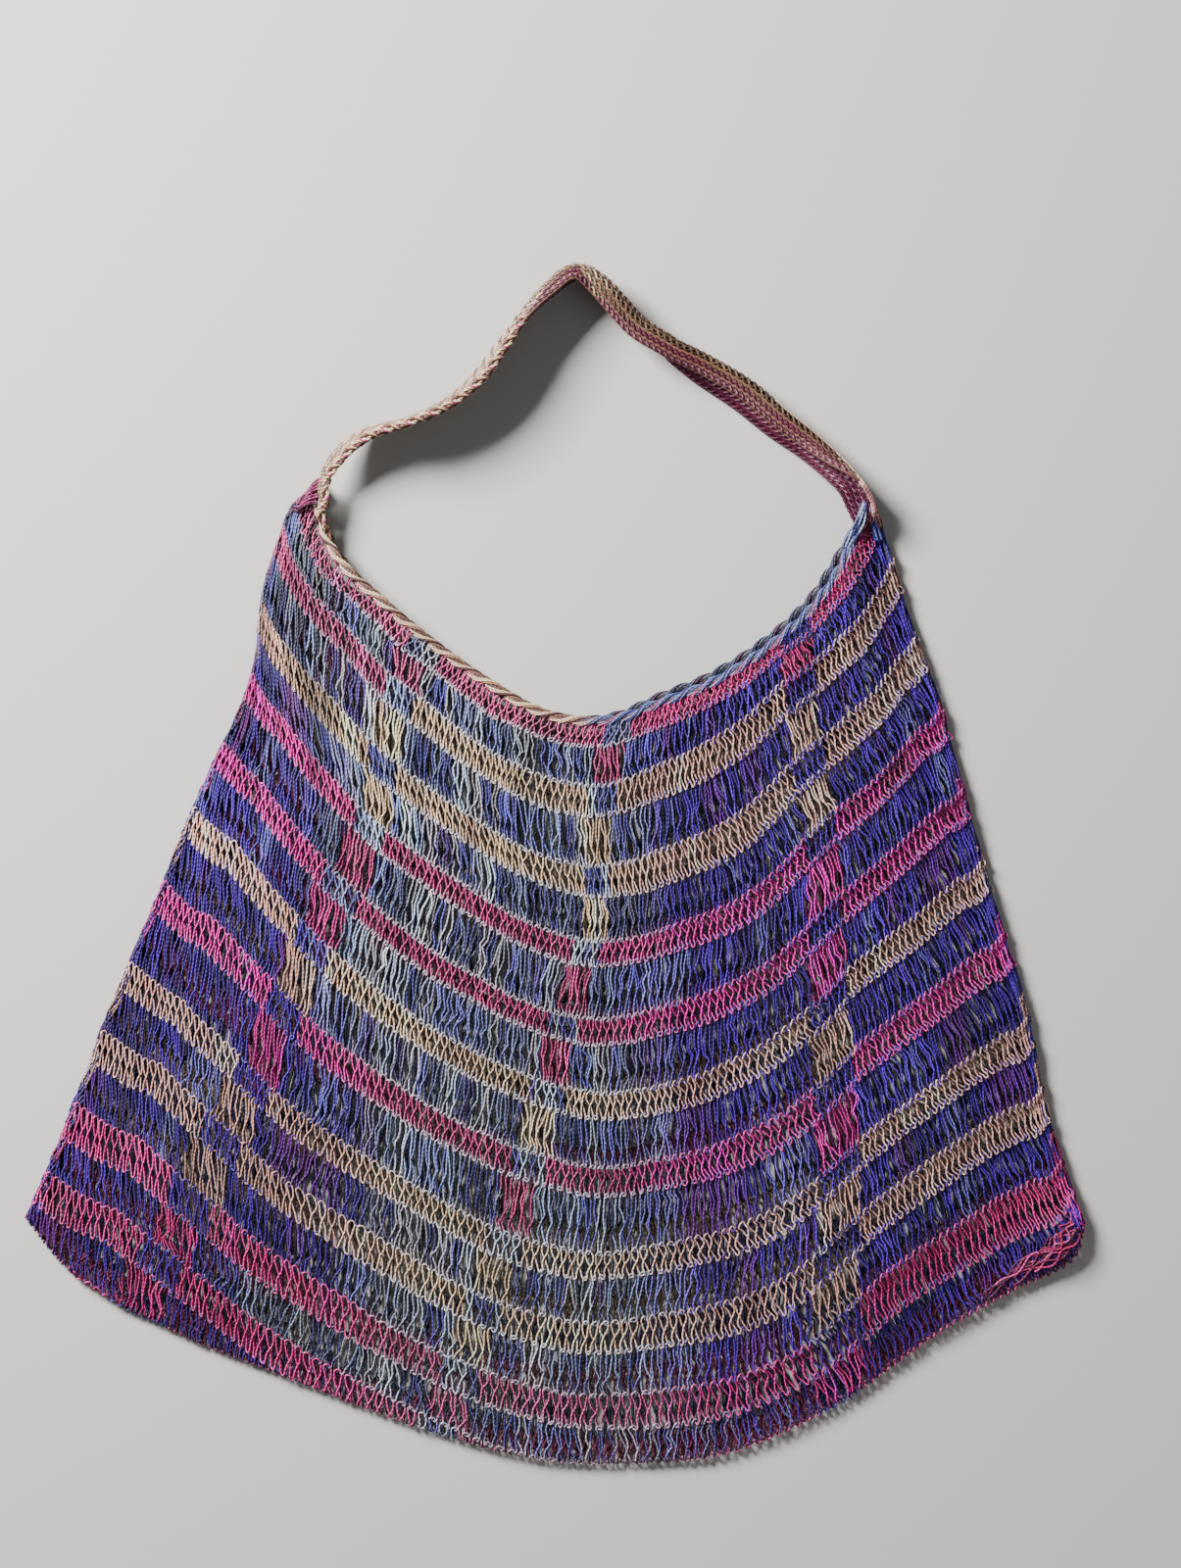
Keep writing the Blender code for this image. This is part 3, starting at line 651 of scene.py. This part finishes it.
strand_yarns = [(strand, ups, dye) for strand, dye in zip(strands, cord_dye)]
cord_strands = tubes("mouth_cord_yarns", strand_yarns, CORD_YARN_RADIUS, 4, cord_yarn, closed=True)
core_dye = np.broadcast_to(linear((92, 66, 70)), centres[::3].shape)
core_yarn = [(centres[::3], ups[::3], core_dye)]
core = tubes("mouth_cord_core", core_yarn, CORE_RADIUS, 6, cord_yarn, closed=True)
for piece in (cord_strands, core):
    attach(piece, "root")
    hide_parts("mouth_cord")

# Shoulder strap: a broad band of the same looping that stands on its edge, curls over on its right
# half and is caught in at both horns. Eight wales of twisted loops on each face lie over a closed
# core, brown and beige outside and maroon inside.
STRAP_THICKNESS, STRAP_STEPS, ACROSS_STEPS, WALES = 3.0, 420, 48, 8
# Half the core's thickness, radius of a yarn, length of one twist, points of a tail past the band
CORE_HALF, STRAP_YARN_RADIUS, LOOP_LENGTH, TAIL_POINTS = 0.85, 0.62, 7.5, 10
BEIGE, BROWN, SHADE, PINK_FLECK = (236, 208, 178), (150, 108, 84), (140, 124, 104), (214, 80, 140)
MAROON, PINK_DASH, CORE_BROWN, CORE_MAROON = (84, 0, 48), (214, 160, 184), (120, 84, 66), (84, 16, 44)
# Along the strap: place in plan, width, lean and curl in degrees, height of its lower edge
STRAP_COURSE = [
    (-122.9, 187.6, 10.0, 90.0, 0.0, 10.7), (-122.4, 197.0, 10.0, 90.0, 0.0, 10.7),
    (-118.6, 206.2, 11.0, 80.0, 0.0, 10.7), (-111.3, 214.0, 15.0, 42.0, 5.0, 5.0),
    (-97.6, 222.6, 22.0, 16.0, 10.0, 0.5), (-74.8, 229.1, 28.0, 8.0, 10.0, 0.0),
    (-53.5, 239.3, 28.0, 10.0, 10.0, 0.0), (-41.3, 249.4, 28.0, 12.0, 10.0, 0.0),
    (-25.6, 269.7, 28.0, 9.0, 15.0, 0.0), (-12.9, 285.9, 28.0, -6.0, 35.0, 0.0),
    (-2.8, 296.5, 28.0, -16.0, 60.0, 0.0), (11.4, 306.0, 28.0, -18.0, 70.0, 0.0),
    (23.6, 298.9, 28.0, -8.0, 95.0, 0.0), (32.7, 288.9, 28.0, -6.0, 100.0, 0.0),
    (41.8, 278.8, 28.0, -12.0, 110.0, 0.0), (58.5, 268.2, 28.0, -32.0, 130.0, 0.0),
    (76.8, 257.0, 29.0, -58.0, 150.0, 0.0), (98.6, 243.3, 30.0, -66.0, 160.0, 0.0),
    (115.8, 229.0, 29.0, -62.0, 155.0, 0.0), (130.5, 218.0, 26.0, -60.0, 145.0, 1.0),
    (142.2, 207.3, 22.0, -66.0, 125.0, 5.5), (152.3, 196.4, 18.0, -80.0, 90.0, 10.7),
    (158.4, 186.0, 14.0, -90.0, 40.0, 10.7), (160.6, 178.4, 11.0, -90.0, 0.0, 10.7),
]


def strap_section(width, lean, curl, lift):
    """Middle line across the strap and its outward directions, as distance out and height."""
    share = (np.arange(ACROSS_STEPS) + 0.5) / ACROSS_STEPS
    bent = np.clip((share - 0.5) / 0.25, 0.0, 1.0)
    angle = -math.radians(lean) - math.radians(curl) * bent
    ahead = np.stack([np.sin(angle), np.cos(angle)], axis=1)
    across = np.stack([np.cos(angle), -np.sin(angle)], axis=1)
    middle = np.concatenate([np.zeros((1, 2)), np.cumsum(ahead * width / ACROSS_STEPS, axis=0)])
    across = np.concatenate([across, across[-1:]])
    reach = STRAP_THICKNESS / 2 * across
    faces = np.concatenate([middle + reach, middle - reach])
    middle[:, 0] -= (faces[:, 0].min() + faces[:, 0].max()) / 2
    middle[:, 1] += lift - faces[:, 1].min()
    return middle, across


course = along(STRAP_COURSE, np.linspace(0.0, 1.0, STRAP_STEPS + 1))
course[:, 5] = np.maximum(course[:, 5], 0.0)
outwards = flat_normals(course)
middles, acrosses = [], []
for (x, y, width, lean, curl, lift), out in zip(course, outwards):
    middle, across = strap_section(width, lean, curl, lift)
    middles.append(np.array([x, y, 0.0]) + middle[:, :1] * out + middle[:, 1:] * UP)
    acrosses.append(across[:, :1] * out + across[:, 1:] * UP)
middles, acrosses = np.array(middles), np.array(acrosses)
across_plan = np.einsum("ijk,ik->ij", middles, outwards)
inner_edge = middles[np.arange(len(middles)), across_plan.argmin(axis=1)]
narrowing = smooth_step(1 - np.arange(len(middles)) / 66.0) * 0.6
run = distances(course[:, :2])


def drawn_in(rows):
    """Rows of the strap, narrower towards the left horn, where its inner edge stays in place."""
    share = narrowing.reshape(-1, *[1] * (rows.ndim - 1))
    return rows + (inner_edge.reshape(len(rows), *[1] * (rows.ndim - 2), 3) - rows) * share


left_path = [
    drawn_in(middles).mean(axis=1)[0], (-120.9, 182.5, 11.6), (-119.9, 178.6, 10.8), (-118.4, 173.6, 10.0),
]
right_path = [middles[-1].mean(axis=0), (160.4, 176.4, 11.6), (159.6, 174.4, 10.4), (158.9, 172.6, 8.6)]


def tail(point, path, squeeze):
    """How a strap's yarn goes on past the end of the band, drawn in along a path of the middle."""
    shares = np.linspace(0, 1, TAIL_POINTS + 1)[1:, None]
    steps = np.linspace(0, 1, len(path))
    way = np.stack([np.interp(shares[:, 0], steps, column) for column in np.array(path).T], axis=1)
    return way + (point - path[0]) * (1 - squeeze * smooth_step(shares))


def with_tails(line):
    left, right = tail(line[0], left_path, 0.75), tail(line[-1], right_path, 0.35)
    return np.concatenate([left[::-1], line, right])


def past_ends(rows):
    """Values along the strap, kept on over the tails."""
    return np.pad(rows, ((TAIL_POINTS, TAIL_POINTS), (0, 0)), mode="edge")


def spots(spacing, draws):
    """Values drawn every few millimetres, read along the strap."""
    return np.interp(run, np.arange(0, 700, spacing), draws)


outer_face = middles[:, ::6] + CORE_HALF * acrosses[:, ::6]
inner_face = middles[:, ::6] - CORE_HALF * acrosses[:, ::6]
core_rows = drawn_in(np.concatenate([outer_face, inner_face[:, ::-1]], axis=1))[6:-6:4]
count, around = core_rows.shape[:2]
number = np.arange(count * around).reshape(count, around)
here, ahead = number[:-1], number[1:]
quads = np.stack([here, np.roll(here, -1, axis=1), np.roll(ahead, -1, axis=1), ahead], axis=-1)
faces = quads.reshape(-1, 4).tolist() + [number[0, ::-1].tolist(), number[-1].tolist()]
mesh = bpy.data.meshes.new("shoulder_strap_core")
mesh.from_pydata((core_rows.reshape(-1, 3) * 0.001).tolist(), [], faces)
colour = np.ones((count, around, 4))
colour[:, : around // 2, :3] = linear(CORE_BROWN)
colour[:, around // 2 :, :3] = linear(CORE_MAROON)
mesh.attributes.new("dye", "FLOAT_COLOR", "POINT").data.foreach_set("color", colour.ravel())
strap_yarn = yarn_material("strap_yarn", 0.5, 0.0002, 0.0)
mesh.materials.append(strap_yarn)
mesh.shade_smooth()
strap_core = bpy.data.objects.new("shoulder_strap_core", mesh)
bpy.context.scene.collection.objects.link(strap_core)
# Share across in plan up to which the strap shows its maroon middle, at shares of its length
BRINK_AT = [0.0, 0.37, 0.40, 0.44, 0.485, 0.505, 0.52, 0.57, 0.63, 0.80, 0.90, 1.0]
BRINK = [-0.3, -0.3, 0.35, 0.68, 0.72, 0.35, 0.1, 0.45, 0.66, 0.70, 0.80, 0.9]
brink = np.interp(run / run[-1], BRINK_AT, BRINK)
darker = smooth_step((run / run[-1] - 0.50) / 0.06) * smooth_step((0.97 - run / run[-1]) / 0.05)
nearest, farthest_out = across_plan.min(axis=1) - 1.2, across_plan.max(axis=1) + 1.2
rows_here = np.arange(len(run))
strap_lines, strap_normals, strap_dyes = [], [], []
for face in (1.0, -1.0):
    for wale in range(WALES):
        for half in (0.0, math.pi):
            phase = 2 * math.pi * run / LOOP_LENGTH + half + wale * 0.9
            lift = np.cos(phase)
            place = (wale + 0.5 + 0.30 * np.sin(phase)) / WALES * ACROSS_STEPS
            low = np.clip(place.astype(int), 0, ACROSS_STEPS - 1)
            part = (place - low)[:, None]
            middle = (1 - part) * middles[rows_here, low] + part * middles[rows_here, low + 1]
            across = face * acrosses[rows_here, low]
            strap_lines.append(with_tails(drawn_in(middle + across * (0.95 + 0.3 * lift)[:, None])))
            strap_normals.append(past_ends(across))
            chance = np.random.default_rng(900 + wale + int(half) * 20 + int(face) * 50)
            tone = spots(9.0, chance.normal(1.0, 0.24, 78))
            outer = blend(linear(BEIGE), linear(BROWN), spots(9.0, chance.uniform(0, 1, 78)))
            outer = outer * (0.42 if half else 1.0)
            outer = blend(outer, outer * linear(SHADE), darker)
            fleck = smooth_step((spots(6.0, chance.uniform(0, 1, 117)) - 0.8) / 0.1)
            fleck = fleck * (0.8 if wale in (0, WALES - 1) else 0.12)
            dash = smooth_step((lift - 0.7) / 0.25) * (wale % 2)
            placed = np.einsum("ij,ij->i", strap_lines[-1][TAIL_POINTS:-TAIL_POINTS], outwards)
            placed = (placed - nearest) / (farthest_out - nearest)
            turned = smooth_step((brink - placed) / 0.08 + 0.5)
            inner = blend(np.broadcast_to(linear(MAROON), outer.shape), linear(PINK_DASH), dash * 0.42)
            dye = blend(blend(outer, linear(PINK_FLECK), fleck), inner, turned)
            strap_dyes.append(past_ends(np.clip(dye * tone[:, None], 0, 1)))


def joining(points, tones, spread, count, taper=1.0):
    """Yarns side by side along a curve, at the strap's ends, drawn together to a share at its start."""
    steps = np.linspace(0.0, 1.0, 30)
    curve = along(points, steps)
    together = taper + (1 - taper) * smooth_step(1.6 * steps)
    for number in range(count):
        shift = (number - (count - 1) / 2) * spread * (1 + 0.25 * np.sin(9 * steps + 2 * number))
        line = curve + flat_normals(curve) * (shift * together)[:, None]
        line[:, 2] += 0.45 * np.cos(12 * steps + 2.4 * number)
        strap_lines.append(line)
        strap_normals.append(np.broadcast_to(UP, line.shape))
        strap_dyes.append(np.broadcast_to(linear(tones[number % len(tones)]), line.shape))


# Pale blue yarns of the mouth's cord come up over the right end of the strap
joining(
    [
        (162.6, 192.0, 12.4), (161.0, 187.0, 14.6), (158.8, 180.0, 14.8), (155.6, 171.5, 11.2),
        (151.8, 164.0, 9.6),
    ],
    [(112, 130, 176), (172, 186, 208), (58, 56, 128), (150, 166, 198), (70, 72, 150), (186, 196, 214)],
    0.9, 6, 0.25,
)
joining(
    [(163.2, 190.0, 13.4), (163.6, 184.0, 13.8), (165.4, 177.0, 10.8), (168.4, 168.0, 7.2)],
    [(66, 60, 190), (146, 158, 212), (44, 30, 150), (104, 112, 206)],
    0.9, 4, 0.3,
)
# Beige and pink border yarns run off the strap's outer edge onto the right shoulder
edge_rows = []
for index in range(int(0.80 * STRAP_STEPS), STRAP_STEPS + 1, 6):
    farthest = middles[index][np.argmax(middles[index] @ outwards[index])]
    edge_rows.append(tuple(farthest + 0.5 * outwards[index] + 0.9 * UP))
edge_rows += [(167.0, 181.0, 8.6), (168.6, 175.0, 7.2)]
joining(edge_rows, [(244, 214, 184), (226, 120, 150), (232, 196, 166)], 0.8, 3)
# Pink yarns of the first round reach from the strap's left edge to the left outline
horn_tones = [(130, 22, 80), (60, 8, 42), (180, 56, 120)]
for number in range(11):
    share = number / 10
    first = np.array([-120.2 - 0.6 * share, 200.5 - 14.0 * share + 0.8 * (number % 3), 12.2 - 0.6 * share])
    last = np.array([-128.2 - 6.8 * share, 194.0 - 11.0 * share - 1.2 * (number % 2), 6.0])
    bow = (first + last) / 2 + np.array([0.6, 1.4 + 0.8 * (number % 2), 2.2])
    joining([tuple(first), tuple(bow), tuple(last)], [horn_tones[number % 3]], 0.5, 1)
# A border of two plies twisted along the upper edge of the strap's left leg
BORDER_STEPS, BORDER_TWIST = 230, 13.0
border = drawn_in(middles[:, -1])[:166]
border = np.concatenate([np.array(left_path[:0:-1], dtype=float) + 0.4 * UP, border])
border = along(border, np.linspace(0.0, 1.0, BORDER_STEPS))
step = np.arange(BORDER_STEPS)
border[:, 2] += 0.7 - 1.8 * smooth_step((step - 195) / 35.0)
border_out = flat_normals(border)
border += 1.2 * border_out * smooth_step(step / 60.0)[:, None]
border_run = distances(border)
border_tones = [
    (238, 206, 162), (150, 104, 78), (244, 220, 184), (96, 54, 56), (196, 64, 116), (226, 186, 144),
]
for number, tone in enumerate(border_tones):
    angle = border_run / BORDER_TWIST * 2 * math.pi + math.pi * (number % 2)
    spin = 2 * angle + 2 * math.pi * (number // 2) / 3
    aside = (1.15 * np.cos(angle) + 0.62 * np.cos(spin))[:, None] * border_out
    upward = (0.5 * np.sin(angle) + 0.62 * np.sin(spin))[:, None] * UP
    strap_lines.append(border + aside + upward)
    strap_normals.append(np.broadcast_to(UP, border.shape))
    strap_dyes.append(np.broadcast_to(linear(tone), border.shape))
yarns = list(zip(strap_lines, strap_normals, strap_dyes))
strap_yarns = tubes("shoulder_strap_yarns", yarns, STRAP_YARN_RADIUS, 4, strap_yarn)
for piece in (strap_core, strap_yarns):
    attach(piece, "root")
    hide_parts("shoulder_strap")

# Floor: a plain pale surface of matt paper, far wider than the picture. It lies half a millimetre
# under the bag.
bpy.ops.mesh.primitive_plane_add(size=30.0, location=(0, 0, -0.0005))
floor = bpy.context.object
floor.name = "floor"
paper = bpy.data.materials.new("floor_paper")
paper.use_nodes = True
paper.node_tree.nodes["Principled BSDF"].inputs["Base Color"].default_value = (0.52, 0.505, 0.48, 1)
paper.node_tree.nodes["Principled BSDF"].inputs["Roughness"].default_value = 0.9
floor.data.materials.append(paper)
floor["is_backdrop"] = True

# Light: a broad soft lamp from the upper left and a weaker one from the lower right, both aimed at
# the pouch, in a dim room. Each has its place and size in metres and its power.
LAMPS = (("key", (-1.2, 1.1, 1.1), 0.7, 150.0), ("fill", (1.3, -0.8, 1.4), 1.6, 6.0))
for name, place, size, power in LAMPS:
    lamp = bpy.data.lights.new(name, "AREA")
    lamp.energy, lamp.size = power, size
    holder = bpy.data.objects.new(name, lamp)
    holder.location = place
    aim = np.array([0.0, -0.05, 0.0]) - np.array(place)
    holder.rotation_euler = (math.acos(-aim[2] / np.linalg.norm(aim)), 0.0, math.atan2(-aim[0], aim[1]))
    bpy.context.scene.collection.objects.link(holder)
world = bpy.data.worlds.new("room")
world.use_nodes = True
world.node_tree.nodes["Background"].inputs["Color"].default_value = (0.9, 0.95, 1.0, 1)
world.node_tree.nodes["Background"].inputs["Strength"].default_value = 0.1
bpy.context.scene.world = world

# Camera: straight above the bag, with its top to the top of the picture. A long lens keeps the
# plan nearly free of perspective.
camera = bpy.data.cameras.new("camera")
camera.lens = 85.0
eye = bpy.data.objects.new("camera", camera)
eye.location = (0.0188, 0.0416, 1.93)
bpy.context.scene.collection.objects.link(eye)
bpy.context.scene.camera = eye

size = {}
for name, bounds in (("before", first_bounds), ("after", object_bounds())):
    size[name] = [list(map(float, row)) for row in bounds]
